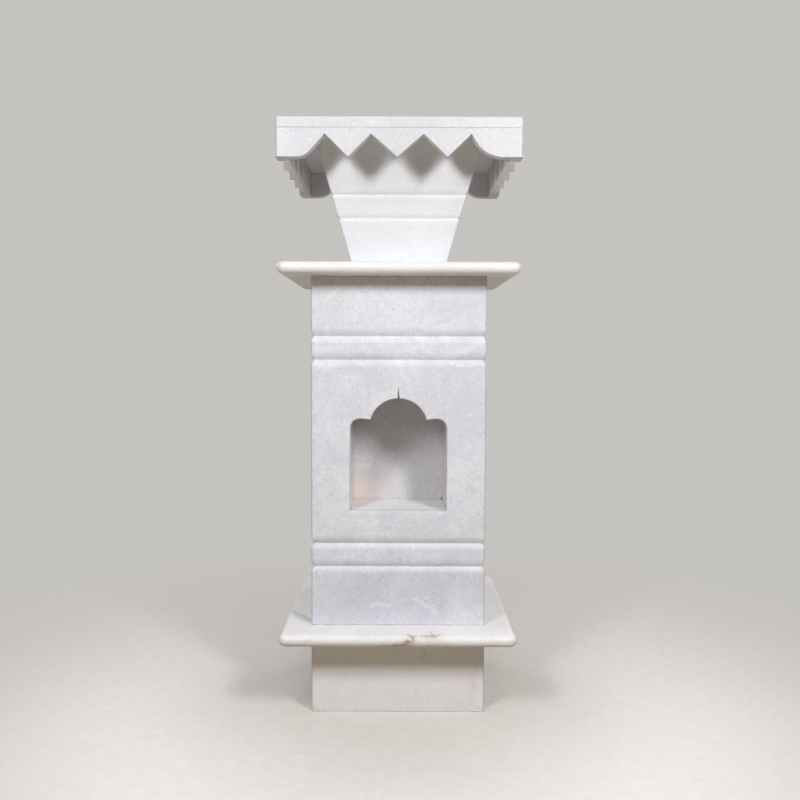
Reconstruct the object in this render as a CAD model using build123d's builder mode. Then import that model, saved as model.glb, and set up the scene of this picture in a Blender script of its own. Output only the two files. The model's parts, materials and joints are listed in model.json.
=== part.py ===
from build123d import *
from math import atan2, cos, degrees, radians, sin, sqrt, tan
import os

# A tulsi vrindavan: a marble planter for holy basil on a square pillar with a lamp niche.
# It is sawn from slabs and stacks dry in three sections: base, pillar and planter.
# Millimetres, +Z up, origin on the ground at the centre of the plinth, front towards -Y.

os.makedirs("parts", exist_ok=True)

# ---------------------------------------------------------------- driving dimensions

# Stock
slab_t = 18.0  # sawn slab that the boards, ledges and niche are cut from
rim_t = 16.0  # thinner slab of the rim plate

# Plinth and pillar, which are equally wide
pillar_side = 266.0
plinth_h = 118.0
pillar_h = 534.0
arris_r = 2.5  # rounding of the upright corners of plinth and pillar

# Grooves round the pillar, in pairs with a bead between them
groove_from_end = 90.7  # end of the pillar to the nearer groove of a pair
bead_h = 35.8  # from one groove of a pair to the other
groove_depth = 4.4
groove_above = 12.0  # height of the shoulder over a groove
groove_below = 10.5  # height of the shoulder under a groove
quirk_r = 1.5  # rounding at the bottom of a groove

# Ledges
lower_slab_overhang = 44.5  # how far a ledge stands out of the pillar
lower_slab_front_overhang = 56.0  # the lower ledge is deeper in front, below the lamp niche
upper_slab_overhang = 46.5
slab_corner_over_nose = 3.0  # plan corner radius of a ledge beyond its bullnose radius

# Lamp niche
niche_depth = 115.0  # pillar face to the niche's back wall
sill_h = 176.0  # foot of the pillar to the niche floor
jamb_h = 126.6  # niche floor to where the arch springs
side_lobe_r = 15.5
side_lobe_shoulder = 15.4  # run from the top of a side lobe to its cusp
cusp_dip = 2.0  # how far the cusp lies below the top of the side lobe
crown_r = 44.4
crown_rise = 2.0  # spring line to the centre of the crown lobe
slit_w = 4.2  # finial slit where it leaves the crown
slit_h = 17.5
arch_arris = 1.0  # chamfer round the niche opening
ceiling_over_slit = 2.0

# Pot
pot_foot_side = 145.5
pot_top_side = 256.0
pot_h = 191.5
pot_arris_r = 2.0
pot_groove_h = 73.5  # foot of the pot to its lower groove
pot_bead_h = 34.5  # from the lower groove to the upper one
pot_groove_depth = 2.2
pot_groove_above = 8.0
pot_groove_below = 7.0
floor_joint = 0.25  # mortar joint round the pot floor

# Cornice
cornice_overhang = 51.5  # how far the cornice stands out of the top of the pot
rim_edge_r = 3.0
rim_mouth_r = 2.0
corner_over_edge = 1.0  # plan corner radius of the cornice beyond the rim's edge radius
skirt_band_h = 9.0  # whole strip of a skirt above its notches
notch_h = 33.0
notch_pitch = 72.0
tooth_count = 3
scoop_slope = 54.0  # steepness of the scooped end of a skirt, in degrees
scoop_r = 34.0

# The front skirt is cut by hand: how far its notches stray, from left to right, and its uneven scoops
front_notch_strays = (0.0, -4.9, -0.6, -3.4)
front_left_scoop = (48.0, 22.0)  # steepness in degrees, radius
front_right_scoop = (60.0, 47.0)

# Drainage, one line of holes from the pot to the ground
drain_r = 12.5
drip_margin = 7.5  # how much wider the holes in the ledges are than the drain

# Blocks bonded behind the mitres
block_side = 20.0
block_h = 80.0
block_ground_gap = 10.0  # the plinth's blocks stay off the ground

# ---------------------------------------------------------------- levels and shared sizes

lower_slab_z = plinth_h
pillar_z = lower_slab_z + slab_t
upper_slab_z = pillar_z + pillar_h
pot_z = upper_slab_z + slab_t
rim_z = pot_z + pot_h
skirt_h = skirt_band_h + notch_h
skirt_z = rim_z - skirt_h

plinth_side = pillar_side
pillar_inside = pillar_side - 2 * slab_t
plinth_inside = plinth_side - 2 * slab_t
lower_slab_side = pillar_side + 2 * lower_slab_overhang
lower_slab_front_extra = lower_slab_front_overhang - lower_slab_overhang
upper_slab_side = pillar_side + 2 * upper_slab_overhang
pot_lean = degrees(atan2((pot_top_side - pot_foot_side) / 2, pot_h))
pot_wall_level = slab_t / cos(radians(pot_lean))  # wall of the pot measured level
pot_foot_inside = pot_foot_side - 2 * pot_wall_level
pot_mouth = pot_top_side - 2 * pot_wall_level
cornice_side = pot_top_side + 2 * cornice_overhang
cornice_corner_r = rim_edge_r + corner_over_edge

SIDE_NAMES = ("front", "right", "back", "left")
SIDES = {name: 360 / len(SIDE_NAMES) * n for n, name in enumerate(SIDE_NAMES)}  # turn of each side
CORNERS = {"front_left": (-1, -1), "front_right": (1, -1), "back_right": (1, 1), "back_left": (-1, 1)}
CUT_OVER = 5.0  # how far a cutter stands out of what it cuts


def save(piece, name):
    """Label a finished piece and write it under its own name."""
    piece.part.label = name
    export_step(piece.part, f"parts/{name}.step")


def face_section(turn, foot_side, foot_z, height, lean):
    """Section plane of one leaning face: local x points out of the face, local y up along it."""
    reach = foot_side / 2 + height * tan(radians(lean))
    on_face = Vector(0, -reach, foot_z + height).rotate(Axis.Z, turn)
    outward = Vector(0, -cos(radians(lean)), -sin(radians(lean))).rotate(Axis.Z, turn)
    across = Vector(-1, 0, 0).rotate(Axis.Z, turn)
    return Plane(origin=on_face, x_dir=outward, z_dir=across)


def square_shell(foot_side, foot_z, height, lean, corner_r, grooves=(), groove_size=(0, 0, 0)):
    """A square tube with leaning walls, rounded upright corners and grooves all round.

    A groove is two round shoulders that leave the face smoothly and meet at its bottom.
    """
    level_wall = slab_t / cos(radians(lean))
    depth, above, below = groove_size
    with BuildPart() as shell:
        with BuildSketch(Plane.XY.offset(foot_z)):
            Rectangle(foot_side, foot_side)
        extrude(amount=height, taper=-lean)
        fillet(shell.edges().filter_by(lambda edge: abs(edge.tangent_at(0).Z) > 0.5), corner_r)
        for groove_h in grooves:
            for turn in SIDES.values():
                with BuildSketch(face_section(turn, foot_side, foot_z, groove_h, lean)) as groove:
                    with BuildLine():
                        TangentArc((0, above), (-depth, 0), tangent=(0, -1))
                        TangentArc((0, -below), (-depth, 0), tangent=(0, 1))
                        Polyline((0, above), (CUT_OVER, above), (CUT_OVER, -below), (0, -below))
                    make_face()
                    fillet(groove.vertices().sort_by(Axis.X)[0], quirk_r)
                extrude(amount=foot_side, both=True, mode=Mode.SUBTRACT)
        with BuildSketch(Plane.XY.offset(foot_z)):
            Rectangle(foot_side - 2 * level_wall, foot_side - 2 * level_wall)
        extrude(amount=height, taper=-lean, mode=Mode.SUBTRACT)
    return shell.part


def mitred_wall(shell, turn):
    """Cut one wall out of a square shell along the shell's diagonals."""
    box = shell.bounding_box()
    reach = box.size.X
    with BuildPart() as wall:
        add(shell)
        with BuildSketch(Plane.XY.offset(box.min.Z)):
            Polygon((0, 0), (-reach, -reach), (reach, -reach), rotation=turn, align=None)
        extrude(amount=box.size.Z, mode=Mode.INTERSECT)
    return wall


def corner_blocks(prefix, inside, foot_z, height):
    """Four square blocks that fill the inner corners of a square shell."""
    centre = (inside - block_side) / 2
    for corner, (x_sign, y_sign) in CORNERS.items():
        with BuildPart() as block:
            with BuildSketch(Plane.XY.offset(foot_z)):
                with Locations((x_sign * centre, y_sign * centre)):
                    Rectangle(block_side, block_side)
            extrude(amount=height)
        save(block, f"{prefix}_block_{corner}")


def ledge(side, front_extra, foot_z):
    """A slab with a full bullnose all round and a drip hole on the centre line of the stack.

    It is square but for the extra depth in front.
    """
    nose_r = slab_t / 2 - 0.01  # a hair short of half the slab, so that a thin flat stays
    with BuildPart() as slab:
        with BuildSketch(Plane.XY.offset(foot_z)):
            with Locations((0, -front_extra / 2)):
                RectangleRounded(side, side + front_extra, nose_r + slab_corner_over_nose)
        extrude(amount=slab_t)
        fillet(slab.faces().filter_by(Axis.Z).edges(), nose_r)
        with Locations((0, 0, foot_z + slab_t)):
            Hole(drain_r + drip_margin, depth=slab_t)
    return slab


# ---------------------------------------------------------------- base section

plinth_shell = square_shell(plinth_side, 0, plinth_h, 0, arris_r)
for side, turn in SIDES.items():
    save(mitred_wall(plinth_shell, turn), f"plinth_{side}_panel")

corner_blocks("plinth_corner", plinth_inside, block_ground_gap, plinth_h - block_ground_gap)

save(ledge(lower_slab_side, lower_slab_front_extra, lower_slab_z), "lower_slab")

# ---------------------------------------------------------------- pillar section

lower_pair = [groove_from_end, groove_from_end + bead_h]
upper_pair = [pillar_h - height for height in lower_pair]
pillar_shell = square_shell(
    pillar_side,
    pillar_z,
    pillar_h,
    0,
    arris_r,
    lower_pair + upper_pair,
    (groove_depth, groove_above, groove_below),
)
for side in ("right", "back", "left"):
    save(mitred_wall(pillar_shell, SIDES[side]), f"pillar_{side}_panel")

# The front panel has the cusped arch: two side lobes and a crown lobe that meet in cusps
sill_z = pillar_z + sill_h
pillar_face = Plane(origin=(0, -pillar_side / 2, sill_z), x_dir=(1, 0, 0), z_dir=(0, -1, 0))
crown_centre_h = jamb_h + crown_rise
crown_h = crown_centre_h + crown_r
side_lobe_h = jamb_h + side_lobe_r
cusp_h = side_lobe_h - cusp_dip
cusp_x = sqrt(crown_r**2 - (cusp_h - crown_centre_h) ** 2)
side_lobe_x = cusp_x + side_lobe_shoulder
niche_w = 2 * (side_lobe_x + side_lobe_r)

with BuildPart() as pillar_front_panel:
    add(mitred_wall(pillar_shell, SIDES["front"]).part)
    with BuildSketch(pillar_face):
        with BuildLine():
            sill = Line((0, 0), (niche_w / 2, 0))
            jamb = Line(sill @ 1, (niche_w / 2, jamb_h))
            side_lobe = TangentArc(jamb @ 1, (side_lobe_x, side_lobe_h), tangent=jamb % 1)
            TangentArc(side_lobe @ 1, (cusp_x, cusp_h), tangent=side_lobe % 1)
            ThreePointArc(
                (cusp_x, cusp_h),
                (crown_r * sin(radians(45)), crown_centre_h + crown_r * cos(radians(45))),
                (0, crown_h),
            )
            mirror(about=Plane.YZ)
        make_face()
    extrude(amount=-slab_t, mode=Mode.SUBTRACT)
    opening_edges = pillar_front_panel.edges(Select.LAST).group_by(Axis.Y)[0]
    chamfer(opening_edges, arch_arris)
    with BuildSketch(pillar_face):
        Polygon(
            (-slit_w / 2, crown_h - CUT_OVER),
            (slit_w / 2, crown_h - CUT_OVER),
            (0, crown_h + slit_h),
            align=None,
        )
    extrude(amount=-slab_t, mode=Mode.SUBTRACT)
save(pillar_front_panel, "pillar_front_panel")

corner_blocks("pillar_lower", pillar_inside, pillar_z, block_h)
corner_blocks("pillar_upper", pillar_inside, upper_slab_z - block_h, block_h)

# The niche is a box of five boards bonded to the back of the front panel: its floor lies between the
# cheeks and the back, and its ceiling lies on top of them
niche_front_y = -pillar_inside / 2
niche_back_y = -pillar_side / 2 + niche_depth
niche_rear_y = niche_back_y + slab_t
niche_ceiling_z = sill_z + crown_h + slit_h + ceiling_over_slit
niche_outer_w = niche_w + 2 * slab_t


def niche_board(x_span, y_span, z_span):
    """A plain board of the niche box between the given limits."""
    with BuildPart() as board:
        with BuildSketch(Plane.XY.offset(z_span[0])):
            with Locations((sum(x_span) / 2, sum(y_span) / 2)):
                Rectangle(x_span[1] - x_span[0], y_span[1] - y_span[0])
        extrude(amount=z_span[1] - z_span[0])
    return board


clear_width = (-niche_w / 2, niche_w / 2)
full_width = (-niche_outer_w / 2, niche_outer_w / 2)
clear_depth = (niche_front_y, niche_back_y)
full_depth = (niche_front_y, niche_rear_y)
wall_height = (sill_z - slab_t, niche_ceiling_z)
save(niche_board(clear_width, clear_depth, (sill_z - slab_t, sill_z)), "niche_floor")
save(niche_board(full_width, (niche_back_y, niche_rear_y), wall_height), "niche_back")
for side, sign in {"left": -1, "right": 1}.items():
    cheek_x = sorted((sign * niche_w / 2, sign * niche_outer_w / 2))
    save(niche_board(cheek_x, clear_depth, wall_height), f"niche_{side}_cheek")
save(niche_board(full_width, full_depth, (niche_ceiling_z, niche_ceiling_z + slab_t)), "niche_ceiling")

save(ledge(upper_slab_side, 0, upper_slab_z), "upper_slab")

# ---------------------------------------------------------------- planter section

pot_shell = square_shell(
    pot_foot_side,
    pot_z,
    pot_h,
    pot_lean,
    pot_arris_r,
    [pot_groove_h, pot_groove_h + pot_bead_h],
    (pot_groove_depth, pot_groove_above, pot_groove_below),
)
for side, turn in SIDES.items():
    save(mitred_wall(pot_shell, turn), f"pot_{side}_panel")

# The floor is bevelled to the lean of the walls and sits between their feet
with BuildPart() as pot_floor:
    with BuildSketch(Plane.XY.offset(pot_z)):
        Rectangle(pot_foot_inside - 2 * floor_joint, pot_foot_inside - 2 * floor_joint)
    extrude(amount=slab_t, taper=-pot_lean)
    with Locations((0, 0, pot_z + slab_t)):
        Hole(drain_r, depth=slab_t)
save(pot_floor, "pot_floor")

with BuildPart() as rim_plate:
    with BuildSketch(Plane.XY.offset(rim_z)):
        RectangleRounded(cornice_side, cornice_side, cornice_corner_r)
        Rectangle(pot_mouth, pot_mouth, mode=Mode.SUBTRACT)
    extrude(amount=rim_t)
    fillet(rim_plate.faces().sort_by(Axis.Z)[-1].outer_wire().edges(), rim_edge_r)
    fillet(rim_plate.faces().sort_by(Axis.Z)[-1].inner_wires()[0].edges(), rim_mouth_r)
save(rim_plate, "rim_plate")


def scoop_radius(foot_x, slope, radius):
    """A scoop's radius, limited by the flat of its tab and by the cut that it rounds into."""
    tab = cornice_side / 2 - cornice_corner_r - abs(foot_x)
    cut = notch_h / sin(radians(slope))
    return min(radius, 0.95 * min(tab, cut) / tan(radians(slope / 2)))


def skirt(turn, strays, left_scoop, right_scoop):
    """One zigzag board under the rim: a scooped tab at each end and teeth between them."""
    first_notch = -tooth_count * notch_pitch / 2
    notches = [first_notch + n * notch_pitch + strays[n % len(strays)] for n in range(tooth_count + 1)]
    left_foot = notches[0] - notch_h / tan(radians(left_scoop[0]))
    right_foot = notches[-1] + notch_h / tan(radians(right_scoop[0]))
    zigzag = [(left_foot, 0), (notches[0], notch_h)]
    for here, after in zip(notches, notches[1:]):
        zigzag += [((here + after) / 2, 0), (after, notch_h)]
    zigzag += [(right_foot, 0)]
    half = cornice_side / 2
    board_face = Plane(origin=(0, -half, skirt_z), x_dir=(1, 0, 0), z_dir=(0, -1, 0))
    with BuildPart() as board:
        with BuildSketch(board_face) as outline:
            with BuildLine():
                Polyline((-half, 0), *zigzag, (half, 0), (half, skirt_h), (-half, skirt_h), close=True)
            make_face()
            for foot_x, scoop in ((left_foot, left_scoop), (right_foot, right_scoop)):
                fillet(outline.vertices().sort_by_distance((foot_x, 0))[0], scoop_radius(foot_x, *scoop))
        extrude(amount=-slab_t)
        with BuildSketch(Plane.XY.offset(skirt_z)):
            RectangleRounded(cornice_side, cornice_side, cornice_corner_r)
            Polygon((0, 0), (-half, -half), (half, -half), align=None, mode=Mode.INTERSECT)
        extrude(amount=skirt_h, mode=Mode.INTERSECT)
    with BuildPart() as placed:
        add(board.part, rotation=(0, 0, turn))
    return placed


even_scoop = (scoop_slope, scoop_r)
save(skirt(SIDES["front"], front_notch_strays, front_left_scoop, front_right_scoop), "skirt_front")
for side in ("right", "back", "left"):
    save(skirt(SIDES[side], (0.0,), even_scoop, even_scoop), f"skirt_{side}")
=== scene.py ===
import json
import math
from collections import namedtuple

import bmesh
import bpy
from mathutils import Matrix, Vector, noise


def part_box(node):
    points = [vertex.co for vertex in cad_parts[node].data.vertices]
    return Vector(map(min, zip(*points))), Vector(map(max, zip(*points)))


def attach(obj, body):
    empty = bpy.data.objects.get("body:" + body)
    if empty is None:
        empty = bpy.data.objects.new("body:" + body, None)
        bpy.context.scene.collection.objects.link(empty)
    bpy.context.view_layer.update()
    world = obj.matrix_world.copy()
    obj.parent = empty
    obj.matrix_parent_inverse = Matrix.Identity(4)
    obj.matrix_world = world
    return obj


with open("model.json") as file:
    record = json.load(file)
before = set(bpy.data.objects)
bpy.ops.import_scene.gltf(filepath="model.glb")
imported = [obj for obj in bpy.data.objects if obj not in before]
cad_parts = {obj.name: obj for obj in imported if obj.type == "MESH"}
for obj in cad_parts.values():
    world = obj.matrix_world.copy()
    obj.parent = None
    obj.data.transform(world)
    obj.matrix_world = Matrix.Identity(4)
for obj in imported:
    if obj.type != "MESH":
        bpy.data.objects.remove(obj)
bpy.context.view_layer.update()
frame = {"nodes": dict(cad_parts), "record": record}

# A marble tulsi vrindavan, dressed over its CAD solids: marble for every board, the stone adhesive
# in its inner corners, a pale studio floor, soft lights and the camera. Metres, front towards -Y.

SCENE = bpy.context.scene
NODES = frame["nodes"]

# ---------------------------------------------------------------- places read from the frame

PLINTH_LOW, PLINTH_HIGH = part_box("plinth_front_panel")
PILLAR_LOW, PILLAR_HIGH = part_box("pillar_front_panel")
NICHE_FLOOR_LOW, NICHE_FLOOR_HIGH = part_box("niche_floor")
LOWER_SLAB_LOW, LOWER_SLAB_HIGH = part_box("lower_slab")
RIM_LOW, RIM_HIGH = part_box("rim_plate")
SKIRT_LOW, SKIRT_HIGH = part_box("skirt_front")
POT_LOW, POT_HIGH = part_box("pot_front_panel")

PILLAR_FACE_Y = PILLAR_LOW.y
HALF_PILLAR = -PILLAR_LOW.y  # the plinth is as wide
HALF_POT_FOOT = 0.1455 / 2  # the pot is 145.5 mm wide at its foot
SILL_Z = NICHE_FLOOR_HIGH.z
NICHE_BACK_Y = NICHE_FLOOR_HIGH.y
NICHE_FRONT_Y = NICHE_FLOOR_LOW.y
NICHE_HALF_WIDTH = NICHE_FLOOR_HIGH.x
NICHE_TOP_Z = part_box("niche_left_cheek")[1].z

# ---------------------------------------------------------------- shared helpers

MIX_AMOUNT, MIX_FIRST, MIX_SECOND, MIX_RESULT = 0, 6, 7, 2  # the colour sockets of a mix node

# A noise and, where it drives an effect, the span of its values over which the effect sets in.
Pattern = namedtuple("Pattern", "scale detail roughness distortion span", defaults=[0.55, 0.0, None])


class Graph:
    """Adds nodes to a node tree and hands back their output sockets."""

    def __init__(self, tree):
        self.tree = tree
        tree.nodes.clear()

    def add(self, kind, inputs=None, output=0, **settings):
        """Adds one node, linking the inputs that are given sockets and setting the others."""
        node = self.tree.nodes.new(kind)
        for name, value in settings.items():
            setattr(node, name, value)
        for name, value in (inputs or {}).items():
            if isinstance(value, bpy.types.NodeSocket):
                self.tree.links.new(value, node.inputs[name])
            else:
                node.inputs[name].default_value = value
        return node.outputs[output] if node.outputs else None

    def maths(self, operation, first, second=0.0, third=0.0):
        return self.add("ShaderNodeMath", {0: first, 1: second, 2: third}, operation=operation)

    def vector(self, operation, first, second=(0, 0, 0), output=0):
        return self.add("ShaderNodeVectorMath", {0: first, 1: second}, output, operation=operation)

    def scaled(self, vector, factor):
        return self.add("ShaderNodeVectorMath", {0: vector, "Scale": factor}, operation="SCALE")

    def mix(self, amount, first, second, blend="MIX"):
        inputs = {MIX_AMOUNT: amount, MIX_FIRST: first, MIX_SECOND: second}
        return self.add("ShaderNodeMix", inputs, MIX_RESULT, data_type="RGBA", blend_type=blend)

    def paint(self, amount, colour, over, blend="MIX"):
        """Lays a plain colour over another one."""
        return self.mix(amount, colour, (*over, 1), blend)

    def tint(self, colour, factor):
        return self.mix(1.0, colour, factor, "MULTIPLY")

    def ramp(self, value, span, ends=(0.0, 1.0), kind="SMOOTHSTEP"):
        """Maps a span of values onto the span between the ends."""
        inputs = {"Value": value, "From Min": span[0], "From Max": span[1]}
        inputs.update({"To Min": ends[0], "To Max": ends[1]})
        return self.add("ShaderNodeMapRange", inputs, interpolation_type=kind, clamp=True)

    def noise(self, place, pattern, width=1.0, output=0):
        """A pattern's noise, whose scale is given for a mark one metre wide."""
        inputs = {"Vector": place, "Scale": pattern.scale / width, "Detail": pattern.detail}
        inputs.update({"Roughness": pattern.roughness, "Distortion": pattern.distortion})
        return self.add("ShaderNodeTexNoise", inputs, output)

    def patches(self, place, pattern, ends=(0.0, 1.0), width=1.0):
        """A pattern's noise with its span mapped onto the ends."""
        return self.ramp(self.noise(place, pattern, width), pattern.span, ends)

    def cells(self, place, scale):
        """A random colour for each of many cells."""
        return self.add("ShaderNodeTexVoronoi", {"Vector": place, "Scale": scale}, "Color")

    def bump(self, height, strength, distance, normal=None):
        inputs = {"Height": height, "Strength": strength, "Distance": distance}
        if normal:
            inputs["Normal"] = normal
        return self.add("ShaderNodeBump", inputs)


def new_material(name):
    """An empty material, and the graph that fills it."""
    material = bpy.data.materials.new(name)
    material.use_nodes = True
    return material, Graph(material.node_tree)


def new_object(name, data):
    made = bpy.data.objects.new(name, data)
    SCENE.collection.objects.link(made)
    return made


# ---------------------------------------------------------------- camera

IMAGE_PIXELS = 800
FOCAL_PIXELS = 901.66
SENSOR_WIDTH = 36.0  # millimetres
CLIP_SPAN = (0.05, 50.0)
CAMERA_PLACE = (0.0022, -1.5, 0.5579)
CAMERA_DOWN = math.radians(3.14)
CAMERA_ROLL = math.radians(0.18)


def make_camera():
    """The photograph's viewpoint: straight on, a little above the niche, tilted slightly down."""
    data = bpy.data.cameras.new("camera")
    data.sensor_fit = "HORIZONTAL"
    data.sensor_width = SENSOR_WIDTH
    data.lens = SENSOR_WIDTH * FOCAL_PIXELS / IMAGE_PIXELS
    data.clip_start, data.clip_end = CLIP_SPAN
    camera = new_object("camera", data)
    camera.location = CAMERA_PLACE
    tilt = Matrix.Rotation(math.radians(90) - CAMERA_DOWN, 3, "X")
    camera.rotation_euler = (tilt @ Matrix.Rotation(CAMERA_ROLL, 3, "Z")).to_euler()
    SCENE.camera = camera


# ---------------------------------------------------------------- the looks of the marble

# Three colours, then how strongly each kind of pattern shows, and the roughness of the surface.
Look = namedtuple("Look", "light shade vein_colour cloud mottle bedding flecks veins roughness")
LOOKS = {
    "plinth_marble": Look(
        light=(0.95, 0.95, 0.99), shade=(0.89, 0.87, 0.905), vein_colour=(0.62, 0.56, 0.52),
        cloud=0.6, mottle=0.45, bedding=0.9, flecks=0.25, veins=0.3, roughness=0.46,
    ),
    "pillar_marble": Look(
        light=(0.795, 0.815, 0.878), shade=(0.64, 0.65, 0.72), vein_colour=(0.855, 0.865, 0.90),
        cloud=0.6, mottle=0.75, bedding=0.3, flecks=1.0, veins=0.5, roughness=0.48,
    ),
    "pot_marble": Look(
        light=(0.87, 0.885, 0.91), shade=(0.80, 0.815, 0.85), vein_colour=(0.74, 0.74, 0.76),
        cloud=0.4, mottle=0.35, bedding=0.7, flecks=0.3, veins=0.2, roughness=0.42,
    ),
    "ledge_marble": Look(
        light=(0.895, 0.885, 0.905), shade=(0.785, 0.765, 0.775), vein_colour=(0.70, 0.66, 0.63),
        cloud=0.5, mottle=0.3, bedding=0.7, flecks=0.2, veins=0.25, roughness=0.39,
    ),
    "niche_marble": Look(
        light=(0.82, 0.81, 0.835), shade=(0.675, 0.665, 0.68), vein_colour=(0.66, 0.63, 0.63),
        cloud=0.6, mottle=0.8, bedding=0.4, flecks=0.8, veins=0.3, roughness=0.5,
    ),
    "cornice_marble": Look(
        light=(0.755, 0.77, 0.81), shade=(0.655, 0.67, 0.725), vein_colour=(0.86, 0.86, 0.88),
        cloud=0.5, mottle=0.55, bedding=0.35, flecks=1.0, veins=0.5, roughness=0.44,
    ),
    "block_marble": Look(
        light=(0.74, 0.70, 0.67), shade=(0.60, 0.56, 0.52), vein_colour=(0.50, 0.44, 0.38),
        cloud=0.7, mottle=0.6, bedding=0.4, flecks=0.3, veins=0.3, roughness=0.6,
    ),
}
# Single boards that are lighter or darker than the look of their slot; the lighter niche floor and the
# darker niche back are painted light and shade.
BOARD_TONES_AND_PAINTED_LIGHT = {"niche_back": 0.89, "niche_right_cheek": 0.92, "niche_floor": 1.13, "skirt_front": 0.96}
BOARD_SHIFT = (0.371, 0.613, 0.237)  # how far the stone's pattern moves from one board to the next
# near white, for pale marks and flecks, and for the painted glints and edge highlights
PALE_MARK_AND_HIGHLIGHT_WHITE = (0.95, 0.95, 0.96)
NOISE_MIDDLE = 0.5

CLOUDS = Pattern(11.0, 4.0, 0.6, 0.8, (0.36, 0.66))
MOTTLE = Pattern(130.0, 6.0, 0.66, 1.1, (0.44, 0.68))
BEDDING = Pattern(1.0, 4.0, 0.6, 0.3, (0.5, 0.72))
BEDDING_SCALES = {"ledge_marble": (7.0, 110.0, 110.0)}
FLAT_BEDDING = (9.0, 9.0, 260.0)  # the stone lies flat in the other slots
BEDDING_TINT = 0.6

CRYSTAL_WARP = Pattern(300.0, 3.0, 0.5)  # bends the straight sides of the cells
CRYSTAL_WARP_REACH = (0.004, 0.004, 0.004)
GRAIN_SCALE = 520.0
GRAIN_WEIGHTS = (0.33, 0.33, 0.33)  # turn a cell's random colour into one value
GRAIN_SPAN = (0.1, 0.9)
GRAIN_TONES = (0.95, 1.035)
CRYSTAL_SCALE = 380.0
BRIGHT_CRYSTALS = (0.955, 0.99)  # of the crystals' random values
DARK_CRYSTALS = (0.03, 0.01)
DARK_STRENGTH = 0.35
FLECK_AND_GLINT_PATCHES = Pattern(38.0, 3.0, span=(0.42, 0.66))
FLECK_AND_GLINT_SHARES = (0.15, 1.0)  # how much shows between the patches and in them
FLECK_AND_GLINT_STRENGTH = 0.8
FLECK_POLISH = 0.08  # how much smoother a fleck is than the stone round it

BROAD_VEINS = Pattern(5.0, 2.0, 0.5, 0.9, (0.022, 0.0))  # the span runs out from the noise's middle
VEIN_PATCHES = Pattern(9.0, 2.0, span=(0.48, 0.66))

EDGE_RADIUS = 0.0014
EDGE_SAMPLES = 6
EDGE_FACING = (0.995, 0.75)  # how the rounded normal faces the flat one, off an edge and on it
EDGE_WEAR_AND_HIGHLIGHT = Pattern(120.0, 4.0, span=(0.35, 0.65))
EDGE_WEAR_AND_HIGHLIGHT_SHARES = (0.1, 0.45)

POLISH = Pattern(34.0, 4.0, 0.6, span=(0.35, 0.7))
POLISH_CHANGES = (-0.07, 0.08)  # of a look's roughness
DENTS = Pattern(16.0, 2.0, 0.5)
MOTTLE_BUMP, BEDDING_BUMP, DENT_BUMP = 0.2, 0.25, 0.2
GRAIN_DEPTH = 0.0006
DENT_DEPTH = 0.004
MARBLE_INSIDE = {
    "IOR": 1.5,
    "Subsurface Weight": 0.12,
    "Subsurface Radius": (1.0, 0.85, 0.7),
    "Subsurface Scale": 0.004,
}

# ---------------------------------------------------------------- joints and marks

# Joints show as thin dark lines: a ring runs round the object at a half width and a height.
Ring = namedtuple("Ring", "half_width height")
RINGS = {
    "plinth_marble": [Ring(HALF_PILLAR, PLINTH_LOW.z), Ring(HALF_PILLAR, PLINTH_HIGH.z)],
    "pillar_marble": [Ring(HALF_PILLAR, PILLAR_LOW.z), Ring(HALF_PILLAR, PILLAR_HIGH.z)],
    "ledge_marble": [Ring(HALF_PILLAR, LOWER_SLAB_HIGH.z)],
    "pot_marble": [Ring(HALF_POT_FOOT, POT_LOW.z)],
    "cornice_marble": [Ring(RIM_HIGH.x, RIM_LOW.z)],
}
FAR_FROM_JOINTS = 1.0
JOINT_FADE = (0.0011, 0.0003)  # the distances from a joint at which its line begins and is full
JOINT_STRENGTHS = {"cornice_marble": 0.4, "pillar_marble": 0.9}
JOINT_STRENGTH = 0.7  # in the other slots
JOINT_BREAKS = Pattern(70.0, 4.0, span=(0.3, 0.62))
JOINT_SHARES = (0.1, 1.0)
JOINT_COLOUR = (0.36, 0.33, 0.30)
MITRE_TOPS = {  # the height up to which the boards of a slot meet in mitred corners
    "plinth_marble": PLINTH_HIGH.z,
    "pillar_marble": PILLAR_HIGH.z,
    "cornice_marble": RIM_LOW.z,
}
MITRE_FADE = (0.0008, 0.0002)
MITRE_STRENGTH = 0.3

# A stain, or a patch of painted light or shade, is an ellipsoid, whose size holds its three half widths. A
# vein runs between two places.
StainOrPaintedLight = namedtuple("StainOrPaintedLight", "centre size colour strength blend", defaults=["MULTIPLY"])
Vein = namedtuple("Vein", "start end width colour strength")
PATCH_TEARS = Pattern(1.5, 5.0, 0.7)
PATCH_TEAR_REACH = 1.2  # how far the noise moves the edge of a stain or painted patch, in its half widths
PATCH_FADE = (1.0, 0.1)  # where a stain or painted patch begins and is full, in its half widths
WANDER = Pattern(0.35, 3.0, 0.5)
WANDER_REACH = 2.2  # in widths of the vein
VEIN_BREAKS = Pattern(0.8, 3.0, span=(0.3, 0.6))
VEIN_SHARES = (0.25, 1.0)
VEIN_CORE = 0.1  # the share of a vein's width within which it is full
GREY = (0.45, 0.44, 0.45)
# a lavender grey for painted shade
PAINTED_SHADE_LAVENDER = (0.79, 0.78, 0.81)
BROWN = (0.36, 0.27, 0.20)
TAN = (0.80, 0.68, 0.56)
RUST = (0.72, 0.42, 0.33)
# a pink for the stone's own tint and for painted warm light
PINK_STONE_AND_WARM_LIGHT = (1.0, 0.92, 0.89)
# a cream for painted light
PAINTED_LIGHT_CREAM = (1.0, 0.96, 0.94)
OCHRE = (1.0, 0.84, 0.58)
# near black, for a dark joint and for painted shade in a small pocket
JOINT_DARK_AND_POCKET_SHADE = (0.09, 0.07, 0.06)
NOSE_RADIUS = (LOWER_SLAB_HIGH.z - LOWER_SLAB_LOW.z) / 2


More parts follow.
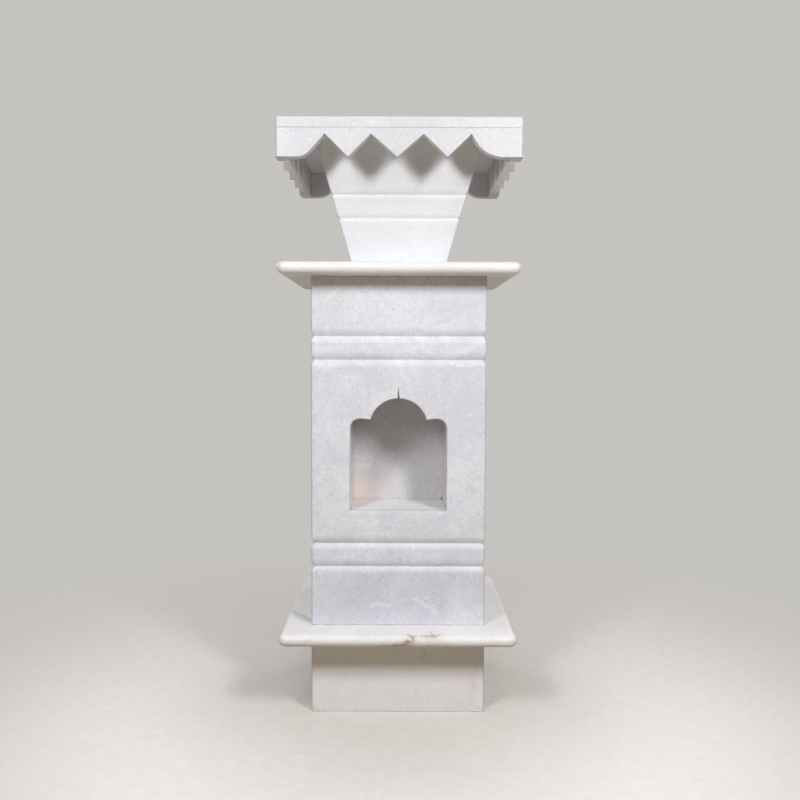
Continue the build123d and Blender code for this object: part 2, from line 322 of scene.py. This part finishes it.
def on_nose(x, turn):
    """A point on the lower slab's front bullnose, turned by so many degrees from its top edge."""
    angle = math.radians(turn)
    y = LOWER_SLAB_LOW.y + NOSE_RADIUS - NOSE_RADIUS * math.sin(angle)
    return x, y, LOWER_SLAB_LOW.z + NOSE_RADIUS + NOSE_RADIUS * math.cos(angle)


def nose_vein(route, width, strength, colour=BROWN):
    """A vein over the bullnose through places given as across and turn."""
    points = [on_nose(x, turn) for x, turn in route]
    return [Vein(start, end, width, colour, strength) for start, end in zip(points, points[1:])]


def on_face(x, z):
    """A point on the front of the plinth or of the pillar."""
    return x, PILLAR_FACE_Y, z


def on_ledge(x, y):
    """A point on top of the lower slab."""
    return x, y, LOWER_SLAB_HIGH.z


MARKS = {
    # Painted shade: the top of the pot, under the cornice, is darkened.
    "pot_marble": [StainOrPaintedLight((0.0, POT_LOW.y, POT_HIGH.z - 0.06), (0.24, 0.12, 0.062), PAINTED_SHADE_LAVENDER, 0.5)],
    "pillar_marble": [
        # Painted shade: the foot of the pillar is darkened.
        StainOrPaintedLight(on_face(0.0, 0.180), (0.22, 0.03, 0.066), PAINTED_SHADE_LAVENDER, 0.6),
        Vein(on_face(-0.0905, 0.5304), on_face(-0.0855, 0.5300), 0.0011, GREY, 0.8),
        Vein(on_face(0.027, 0.177), on_face(0.060, 0.156), 0.0060, PALE_MARK_AND_HIGHLIGHT_WHITE, 0.45),
        Vein(on_face(0.045, 0.180), on_face(0.058, 0.165), 0.0045, PALE_MARK_AND_HIGHLIGHT_WHITE, 0.3),
        Vein(on_face(-0.040, 0.168), on_face(-0.012, 0.166), 0.0055, PALE_MARK_AND_HIGHLIGHT_WHITE, 0.4),
    ],
    "niche_marble": [
        # Painted light: the lower left of the niche is made lighter.
        StainOrPaintedLight((-0.066, NICHE_BACK_Y - 0.04, SILL_Z + 0.010), (0.066, 0.14, 0.090), PAINTED_LIGHT_CREAM, 0.7, "MIX"),
        # Partly the stone's own pink and partly painted warm light, at the lower left of the niche.
        StainOrPaintedLight((-0.066, NICHE_BACK_Y - 0.02, SILL_Z + 0.005), (0.056, 0.12, 0.055), PINK_STONE_AND_WARM_LIGHT, 0.75),
        # Painted shade: a dark spot stands for the small pocket in the back corner of the niche.
        StainOrPaintedLight((0.0712, NICHE_BACK_Y, SILL_Z + 0.0008), (0.0046, 0.005, 0.0024), JOINT_DARK_AND_POCKET_SHADE, 1.0),
        Vein((-0.074, NICHE_BACK_Y, SILL_Z), (0.074, NICHE_BACK_Y, SILL_Z), 0.0016, GREY, 0.9),
        Vein((0.050, NICHE_BACK_Y, SILL_Z), (0.074, NICHE_BACK_Y, SILL_Z), 0.0020, JOINT_DARK_AND_POCKET_SHADE, 0.7),
    ],
    "ledge_marble": [
        *nose_vein([(0.026, 50), (0.012, 88), (-0.004, 115)], 0.0065, 0.3),
        *nose_vein([(0.036, 40), (0.050, 22), (0.062, 12)], 0.0055, 0.25),
        StainOrPaintedLight(on_nose(0.016, 85), (0.020, 0.014, 0.010), TAN, 0.45),
        StainOrPaintedLight(on_nose(0.052, 50), (0.020, 0.014, 0.010), TAN, 0.35),
        *nose_vein([(0.0146, 0), (0.0185, 20), (0.0218, 40)], 0.0030, 0.75),
        *nose_vein([(0.0218, 40), (0.0275, 28)], 0.0034, 0.45),
        *nose_vein([(0.0218, 40), (0.0240, 75)], 0.0030, 0.3),
        *nose_vein([(0.0240, 72), (0.0138, 92), (0.0066, 112), (-0.0065, 124)], 0.0042, 0.8),
        *nose_vein([(0.0334, 43), (0.0414, 27), (0.0502, 10), (0.0603, 3)], 0.0028, 0.55),
        *nose_vein([(0.0515, 5), (0.0530, 20), (0.0560, 38)], 0.0032, 0.7),
        *nose_vein([(-0.043, 0), (0.005, 8)], 0.0012, 0.4, RUST),
        *nose_vein([(-0.020, 122), (0.0, 128), (0.021, 122)], 0.0030, 0.55),
        Vein(on_nose(0.0515, 5), on_ledge(0.0500, -0.165), 0.0018, BROWN, 0.6),
        Vein(on_nose(-0.055, 0), on_nose(-0.043, 0), 0.0011, RUST, 0.9),
        Vein(on_ledge(-0.170, -0.060), on_ledge(-0.136, -0.112), 0.0075, GREY, 0.6),
    ],
    "plinth_marble": [
        Vein(on_face(0.0415, 0.096), on_face(0.0410, 0.081), 0.0042, GREY, 0.5),
        StainOrPaintedLight(on_face(-0.131, 0.004), (0.012, 0.02, 0.008), OCHRE, 0.8),
    ],
}

# ---------------------------------------------------------------- marble


def rounded_edges(graph):
    """A rounded normal at the sawn edges, and how near an edge a point lies."""
    rounded = graph.add("ShaderNodeBevel", {"Radius": EDGE_RADIUS}, samples=EDGE_SAMPLES)
    flat = graph.add("ShaderNodeNewGeometry", output="Normal")
    facing = graph.vector("DOT_PRODUCT", rounded, flat, "Value")
    return rounded, graph.ramp(facing, EDGE_FACING)


def clouded(graph, stone, slot, look):
    """The ground of the marble: wide clouds, finer mottling and the bedding of the stone."""
    clouds = graph.patches(stone, CLOUDS, (0.0, look.cloud))
    colour = graph.paint(clouds, (*look.light, 1), look.shade)
    mottle = graph.noise(stone, MOTTLE)
    colour = graph.paint(graph.ramp(mottle, MOTTLE.span, (0.0, look.mottle)), colour, look.shade)
    flattened = graph.vector("MULTIPLY", stone, BEDDING_SCALES.get(slot, FLAT_BEDDING))
    bedding = graph.noise(flattened, BEDDING)
    layers = graph.ramp(bedding, BEDDING.span, (0.0, BEDDING_TINT * look.bedding))
    return graph.paint(layers, colour, look.shade), mottle, bedding


def crystals_in(graph, stone, look, colour):
    """Crystal grain of about 2 mm, with pale flecks where single crystals catch the light: pale crystals,
    partly painted glints.
    """
    warp = graph.noise(stone, CRYSTAL_WARP, output="Color")
    grainy = graph.vector("ADD", stone, graph.vector("MULTIPLY", warp, CRYSTAL_WARP_REACH))
    grain = graph.vector("DOT_PRODUCT", graph.cells(grainy, GRAIN_SCALE), GRAIN_WEIGHTS, "Value")
    colour = graph.tint(colour, graph.ramp(grain, GRAIN_SPAN, GRAIN_TONES))
    crystal = graph.add("ShaderNodeSeparateColor", {0: graph.cells(grainy, CRYSTAL_SCALE)})
    bright = graph.ramp(crystal, BRIGHT_CRYSTALS)
    where = graph.patches(stone, FLECK_AND_GLINT_PATCHES, FLECK_AND_GLINT_SHARES)
    flecks = graph.maths("MULTIPLY", graph.maths("MULTIPLY", bright, where), look.flecks)
    dark = graph.ramp(crystal, DARK_CRYSTALS, (0.0, DARK_STRENGTH * look.flecks))
    colour = graph.paint(graph.maths("MULTIPLY", flecks, FLECK_AND_GLINT_STRENGTH), colour, PALE_MARK_AND_HIGHLIGHT_WHITE)
    return graph.paint(dark, colour, look.vein_colour), flecks


def veined(graph, stone, look, colour):
    """Faint broad veins that come and go through the whole board."""
    off_middle = graph.maths("SUBTRACT", graph.noise(stone, BROAD_VEINS), NOISE_MIDDLE)
    line = graph.ramp(graph.maths("ABSOLUTE", off_middle), BROAD_VEINS.span)
    where = graph.patches(stone, VEIN_PATCHES)
    amount = graph.maths("MULTIPLY", graph.maths("MULTIPLY", line, where), look.veins)
    return graph.paint(amount, colour, look.vein_colour)


def joint_amount(graph, place, slot):
    """Where the dark line of a joint between boards shows, broken up a little."""
    parts = graph.add("ShaderNodeSeparateXYZ", {0: graph.vector("ABSOLUTE", place)})
    across, along, height = parts.node.outputs
    widest = graph.maths("MAXIMUM", across, along)
    reach = FAR_FROM_JOINTS
    for ring in RINGS.get(slot, ()):
        gap = graph.add("ShaderNodeCombineXYZ", {
            0: graph.maths("SUBTRACT", widest, ring.half_width),
            1: graph.maths("SUBTRACT", height, ring.height),
        })
        reach = graph.maths("MINIMUM", reach, graph.vector("LENGTH", gap, output="Value"))
    amount = graph.ramp(reach, JOINT_FADE, (0.0, JOINT_STRENGTHS.get(slot, JOINT_STRENGTH)))
    if slot in MITRE_TOPS:
        mitre = graph.maths("ABSOLUTE", graph.maths("SUBTRACT", across, along))
        above = graph.maths("GREATER_THAN", height, MITRE_TOPS[slot])
        mitre_amount = graph.ramp(graph.maths("ADD", mitre, above), MITRE_FADE, (0.0, MITRE_STRENGTH))
        amount = graph.maths("MAXIMUM", amount, mitre_amount)
    return graph.maths("MULTIPLY", amount, graph.patches(place, JOINT_BREAKS, JOINT_SHARES))


def stain_or_painted_light_amount(graph, place, patch):
    """How strongly a stain, or a patch of painted light or shade, shows: an ellipsoid torn up by noise."""
    scaled = graph.vector("DIVIDE", graph.vector("SUBTRACT", place, patch.centre), patch.size)
    reach = graph.vector("LENGTH", scaled, output="Value")
    nearer = graph.maths("SUBTRACT", reach, PATCH_TEAR_REACH / 2)
    torn = graph.noise(place, PATCH_TEARS, max(patch.size))
    reach = graph.maths("MULTIPLY_ADD", torn, PATCH_TEAR_REACH, nearer)
    return graph.ramp(reach, PATCH_FADE, (0.0, patch.strength))


def vein_amount(graph, place, vein):
    """How strongly a local vein shows: a segment that wanders and breaks up."""
    start = Vector(vein.start)
    along = Vector(vein.end) - start
    wander = graph.noise(place, WANDER, vein.width, "Color")
    wander = graph.vector("SUBTRACT", wander, (NOISE_MIDDLE,) * 3)
    wander = graph.vector("MULTIPLY", wander, (WANDER_REACH * vein.width,) * 3)
    offset = graph.vector("SUBTRACT", graph.vector("ADD", place, wander), start)
    share = graph.vector("DOT_PRODUCT", offset, along / along.length_squared, "Value")
    share = graph.ramp(share, (0.0, 1.0), kind="LINEAR")
    reach = graph.vector("DISTANCE", offset, graph.scaled(along, share), "Value")
    amount = graph.ramp(reach, (vein.width, VEIN_CORE * vein.width), (0.0, vein.strength))
    return graph.maths("MULTIPLY", amount, graph.patches(place, VEIN_BREAKS, VEIN_SHARES, vein.width))


def marked(graph, place, slot, colour):
    """The marks of single boards: most stains and patches of painted light or shade tint the stone under
    them, and veins cover it.
    """
    for mark in MARKS.get(slot, ()):
        if isinstance(mark, StainOrPaintedLight):
            colour = graph.paint(stain_or_painted_light_amount(graph, place, mark), colour, mark.colour, mark.blend)
        else:
            colour = graph.paint(vein_amount(graph, place, mark), colour, mark.colour)
    return colour


def make_marble(slot, look):
    """Honed marble: clouds, crystals, veins, marks, dark joints and slightly worn edges, paler partly as a
    painted highlight.
    """
    material, graph = new_material(slot)
    place = graph.add("ShaderNodeTexCoord", output="Object")
    board = graph.add("ShaderNodeObjectInfo", output="Object Index")
    board_tone_and_light = board.node.outputs["Color"]
    stone = graph.vector("ADD", place, graph.scaled(BOARD_SHIFT, board))

    colour, mottle, bedding = clouded(graph, stone, slot, look)
    colour, flecks = crystals_in(graph, stone, look, colour)
    colour = graph.tint(veined(graph, stone, look, colour), board_tone_and_light)
    colour = marked(graph, place, slot, colour)
    rounded, edge = rounded_edges(graph)
    # Paler edges: partly wear and partly a painted highlight along the arrises.
    wear_and_highlight = graph.maths("MULTIPLY", edge, graph.patches(stone, EDGE_WEAR_AND_HIGHLIGHT, EDGE_WEAR_AND_HIGHLIGHT_SHARES))
    colour = graph.paint(wear_and_highlight, colour, PALE_MARK_AND_HIGHLIGHT_WHITE)
    colour = graph.paint(joint_amount(graph, place, slot), colour, JOINT_COLOUR)

    polish = graph.patches(stone, POLISH, [look.roughness + change for change in POLISH_CHANGES])
    polish = graph.maths("SUBTRACT", polish, graph.maths("MULTIPLY", flecks, FLECK_POLISH))
    normal = graph.bump(mottle, MOTTLE_BUMP * look.mottle, GRAIN_DEPTH, rounded)
    normal = graph.bump(bedding, BEDDING_BUMP, GRAIN_DEPTH, normal)
    normal = graph.bump(graph.noise(stone, DENTS), DENT_BUMP, DENT_DEPTH, normal)
    inputs = {"Base Color": colour, "Roughness": polish, "Normal": normal, **MARBLE_INSIDE}
    shader = graph.add("ShaderNodeBsdfPrincipled", inputs)
    graph.add("ShaderNodeOutputMaterial", {"Surface": shader})
    return material


def dress_boards():
    """Give each CAD board the marble of its slot, with its own piece of the stone's pattern."""
    marbles = {slot: make_marble(slot, look) for slot, look in LOOKS.items()}
    slots = {part["node"]: part["material_slot"] for part in frame["record"]["subparts"]}
    for number, name in enumerate(sorted(NODES)):
        board = NODES[name]
        board.data.materials.clear()
        board.data.materials.append(marbles[slots[name]])
        board.pass_index = number
        board_tone_and_light = BOARD_TONES_AND_PAINTED_LIGHT.get(name, 1.0)
        board.color = (board_tone_and_light, board_tone_and_light, board_tone_and_light, 1.0)


# ---------------------------------------------------------------- stone adhesive

ADHESIVE = (0.66, 0.62, 0.56)
ADHESIVE_ROUGHNESS = 0.55
DUST = Pattern(260.0, 5.0, 0.65, span=(0.3, 0.7))
DUST_TONES = (0.78, 1.1)
GRIT = Pattern(900.0, 3.0)
GRIT_BUMP = 0.4
GRIT_DEPTH = 0.0004

Bead = namedtuple("Bead", "name start end radius")
BEAD_STEP = 0.0035
BEAD_FEWEST_STEPS = 6
BEAD_SIDES = 8
BEAD_END = 0.4  # the share of its radius that a bead keeps at its two ends
BEAD_THINNEST = 0.25
LUMP_HEIGHT = 0.7
FINE_LUMPS = 240.0
WIDE_LUMPS = 90.0
WIDE_LUMP_SHARE = 0.6
WIDE_LUMP_SHIFT = Vector((5.0, 1.0, 3.0))
SKIRT_BEAD_GAP = 0.004  # from the foot of the skirt's corner up to its bead

BLOB_PLACE = (NICHE_HALF_WIDTH - 0.002, NICHE_BACK_Y - 0.0006, SILL_Z + 0.0044)
BLOB_RADIUS = 0.0015
BLOB_LUMPS = 1.4
BLOB_LUMP_HEIGHT = 0.35


def make_adhesive():
    """Cream stone adhesive, dusty and a little uneven."""
    material, graph = new_material("stone_adhesive")
    place = graph.add("ShaderNodeTexCoord", output="Object")
    colour = graph.tint((*ADHESIVE, 1), graph.patches(place, DUST, DUST_TONES))
    normal = graph.bump(graph.noise(place, GRIT), GRIT_BUMP, GRIT_DEPTH)
    inputs = {"Base Color": colour, "Roughness": ADHESIVE_ROUGHNESS, "Normal": normal}
    shader = graph.add("ShaderNodeBsdfPrincipled", inputs)
    graph.add("ShaderNodeOutputMaterial", {"Surface": shader})
    return material


def niche_beads():
    """Adhesive squeezed out along the inner corners of the niche."""
    side, back, front = NICHE_HALF_WIDTH, NICHE_BACK_Y, NICHE_FRONT_Y
    low, top = SILL_Z, NICHE_TOP_Z
    beads = [Bead("niche_adhesive_back_floor", (-side, back, low), (side, back, low), radius=0.0005)]
    for name, x in (("left", -side), ("right", side)):
        beads += [
            Bead(f"niche_adhesive_{name}_floor", (x, front, low), (x, back, low), radius=0.0006),
            Bead(f"niche_adhesive_{name}_back", (x, back, low), (x, back, top), radius=0.0008),
            Bead(f"niche_adhesive_{name}_front", (x, front, low), (x, front, top), radius=0.0005),
        ]
    return beads


def cornice_beads():
    """Adhesive along the top and the corners of the skirt boards, and round the mouth of the pot."""
    inner, mouth = -SKIRT_HIGH.y, -POT_LOW.y
    under, foot = RIM_LOW.z, SKIRT_LOW.z + SKIRT_BEAD_GAP
    corners = [(-1, -1), (1, -1), (1, 1), (-1, 1)]
    sides = ("front", "right", "back", "left")
    beads = []
    for side, (x, y), (next_x, next_y) in zip(sides, corners, corners[1:] + corners[:1]):
        top = [(inner * x, inner * y, under), (inner * next_x, inner * next_y, under)]
        ring = [(mouth * x, mouth * y, under), (mouth * next_x, mouth * next_y, under)]
        corner = [(inner * x, inner * y, foot), (inner * x, inner * y, under)]
        beads += [
            Bead(f"skirt_adhesive_{side}_top", *top, radius=0.0013),
            Bead(f"skirt_adhesive_{side}_corner", *corner, radius=0.0012),
            Bead(f"pot_adhesive_{side}_mouth", *ring, radius=0.0015),
        ]
    return beads


def lumpiness(centre):
    """How thick a bead is at a place, as a share of its own radius."""
    wide = noise.noise(centre * WIDE_LUMPS + WIDE_LUMP_SHIFT)
    lump = noise.noise(centre * FINE_LUMPS) + WIDE_LUMP_SHARE * wide
    return max(BEAD_THINNEST, 1.0 + LUMP_HEIGHT * lump)


def make_bead(bead, material, body):
    """A thin bead of uneven thickness along a straight inner corner."""
    start, end = Vector(bead.start), Vector(bead.end)
    run = end - start
    steps = max(BEAD_FEWEST_STEPS, round(run.length / BEAD_STEP))
    across = run.normalized().orthogonal()
    shape = bmesh.new()
    rings = []
    for step in range(steps + 1):
        centre = start + run * (step / steps)
        radius = bead.radius * lumpiness(centre) * (BEAD_END if step in (0, steps) else 1.0)
        ring = []
        for side in range(BEAD_SIDES):
            turn = Matrix.Rotation(2 * math.pi * side / BEAD_SIDES, 3, run.normalized())
            ring.append(shape.verts.new(centre + turn @ across * radius))
        rings.append(ring)
    for low, high in zip(rings, rings[1:]):
        for side in range(BEAD_SIDES):
            after = (side + 1) % BEAD_SIDES
            shape.faces.new((low[side], low[after], high[after], high[side]))
    shape.faces.new(rings[0][::-1])
    shape.faces.new(rings[-1])
    finish_piece(shape, bead.name, material, body)


def make_blob(name, material, body):
    """A small uneven lump of adhesive in the corner of the niche."""
    shape = bmesh.new()
    bmesh.ops.create_icosphere(shape, subdivisions=3, radius=BLOB_RADIUS)
    for vertex in shape.verts:
        vertex.co *= 1.0 + BLOB_LUMP_HEIGHT * noise.noise(vertex.co / BLOB_RADIUS * BLOB_LUMPS)
        vertex.co += Vector(BLOB_PLACE)
    finish_piece(shape, name, material, body)


def finish_piece(shape, name, material, body):
    """Turn a bmesh into a smooth object that moves with a body and takes the given material."""
    mesh = bpy.data.meshes.new(name)
    shape.normal_update()
    shape.to_mesh(mesh)
    shape.free()
    mesh.shade_smooth()
    mesh.materials.append(material)
    piece = new_object(name, mesh)
    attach(piece, body)


def lay_adhesive():
    """Every bead and the lump, each with the section it sticks to."""
    material = make_adhesive()
    for bead in niche_beads():
        make_bead(bead, material, "pillar_section")
    for bead in cornice_beads():
        make_bead(bead, material, "planter_section")
    make_blob("niche_adhesive_blob", material, "pillar_section")


# ---------------------------------------------------------------- floor, world and lights

PALE = (0.56, 0.545, 0.525)
SKY_ABOVE = (0.44, 0.42, 0.40)
SKY_AROUND = (0.015, 0.010, 0.006)
SKY_SPAN = (0.15, 0.9)  # of a direction's height, between the sky around and the sky above
FLOOR_SEEN = (0.76, 0.735, 0.705)
FLOOR_BOUNCE = (0.31, 0.24, 0.155)
FLOOR_ROUGHNESS = 0.38
FLOOR_RADIUS = 6.0
FLOOR_SIDES = 96
FLOOR_FADE = (0.35, 1.15)  # the floor turns into the plain background between these distances
SPECKLE = Pattern(60.0, 5.0, span=(0.3, 0.7))
SPECKLE_TONES = (0.97, 1.03)

Softbox = namedtuple("Softbox", "name place size power colour")
AIM = Vector((0, PILLAR_FACE_Y, -0.55))  # the place that every light points at
SOFTBOXES = [
    Softbox("right_softbox", (0.58, -1.08, 1.11), (0.19, 0.37), 10.0, (1.0, 0.99, 0.99)),
    Softbox("left_softbox", (-0.47, -1.08, 1.11), (0.19, 0.37), 7.3, (0.965, 0.985, 1.0)),
    Softbox("low_fill", (-1.1, -1.4, 0.15), (0.8, 0.8), 1.2, (1.0, 0.84, 0.7)),
    Softbox("rear_left_fill", (-1.0, 1.5, 1.2), (0.7, 0.7), 5.2, (1.0, 1.0, 1.0)),
    Softbox("rear_right_fill", (1.0, 1.5, 1.2), (0.7, 0.7), 5.2, (1.0, 1.0, 1.0)),
    Softbox("top_fill", (0.0, 0.35, 2.6), (0.8, 0.8), 5.2, (1.0, 1.0, 1.0)),
]


def seen_directly(graph):
    """One where the camera looks straight, by a reflection or through glass, and nought for other light."""
    seen = graph.add("ShaderNodeLightPath", output="Is Camera Ray")
    for way in ("Is Glossy Ray", "Is Transmission Ray"):
        seen = graph.maths("MAXIMUM", seen, graph.add("ShaderNodeLightPath", output=way))
    return seen


def make_floor_material():
    """Pale where it is seen, darker for the light it bounces, and plain further out."""
    material, graph = new_material("floor")
    place = graph.add("ShaderNodeTexCoord", output="Object")
    seen = seen_directly(graph)
    colour = graph.mix(seen, (*FLOOR_BOUNCE, 1), (*FLOOR_SEEN, 1))
    colour = graph.tint(colour, graph.patches(place, SPECKLE, SPECKLE_TONES))
    lit = graph.add("ShaderNodeBsdfPrincipled", {"Base Color": colour, "Roughness": FLOOR_ROUGHNESS})
    plain = graph.add("ShaderNodeEmission", {"Color": (*PALE, 1), "Strength": 1.0})
    distance = graph.vector("LENGTH", place, output="Value")
    fade = graph.maths("MULTIPLY", graph.ramp(distance, FLOOR_FADE), seen)
    surface = graph.add("ShaderNodeMixShader", {0: fade, 1: lit, 2: plain})
    graph.add("ShaderNodeOutputMaterial", {"Surface": surface})
    return material


def make_floor():
    """A round pale floor that keeps the shadow and fades into the plain background."""
    mesh = bpy.data.meshes.new("floor")
    shape = bmesh.new()
    bmesh.ops.create_circle(shape, cap_ends=True, segments=FLOOR_SIDES, radius=FLOOR_RADIUS)
    shape.to_mesh(mesh)
    shape.free()
    mesh.materials.append(make_floor_material())
    floor = new_object("floor", mesh)


def make_world():
    """Soft light from above, dim and warm around, with the plain background where it is seen."""
    world = bpy.data.worlds.new("studio")
    SCENE.world = world
    world.use_nodes = True
    graph = Graph(world.node_tree)
    direction = graph.add("ShaderNodeTexCoord", output="Generated")
    height = graph.add("ShaderNodeSeparateXYZ", {0: direction}, output="Z")
    sky = graph.mix(graph.ramp(height, SKY_SPAN), (*SKY_AROUND, 1), (*SKY_ABOVE, 1))
    ambient = graph.add("ShaderNodeBackground", {"Color": sky, "Strength": 1.0})
    plain = graph.add("ShaderNodeBackground", {"Color": (*PALE, 1), "Strength": 1.0})
    surface = graph.add("ShaderNodeMixShader", {0: seen_directly(graph), 1: ambient, 2: plain})
    graph.add("ShaderNodeOutputWorld", {"Surface": surface})


def make_softboxes():
    """Two small soft lights high in front, and wide weaker ones low on the left, behind and above."""
    for softbox in SOFTBOXES:
        data = bpy.data.lights.new(softbox.name, "AREA")
        data.shape = "RECTANGLE"
        data.size, data.size_y = softbox.size
        data.energy = softbox.power
        data.color = softbox.colour
        lamp = new_object(softbox.name, data)
        lamp.location = softbox.place
        lamp.rotation_euler = (AIM - lamp.location).to_track_quat("-Z", "Y").to_euler()


SCENE.view_settings.view_transform = "Standard"
make_camera()
dress_boards()
lay_adhesive()
make_floor()
make_world()
make_softboxes()
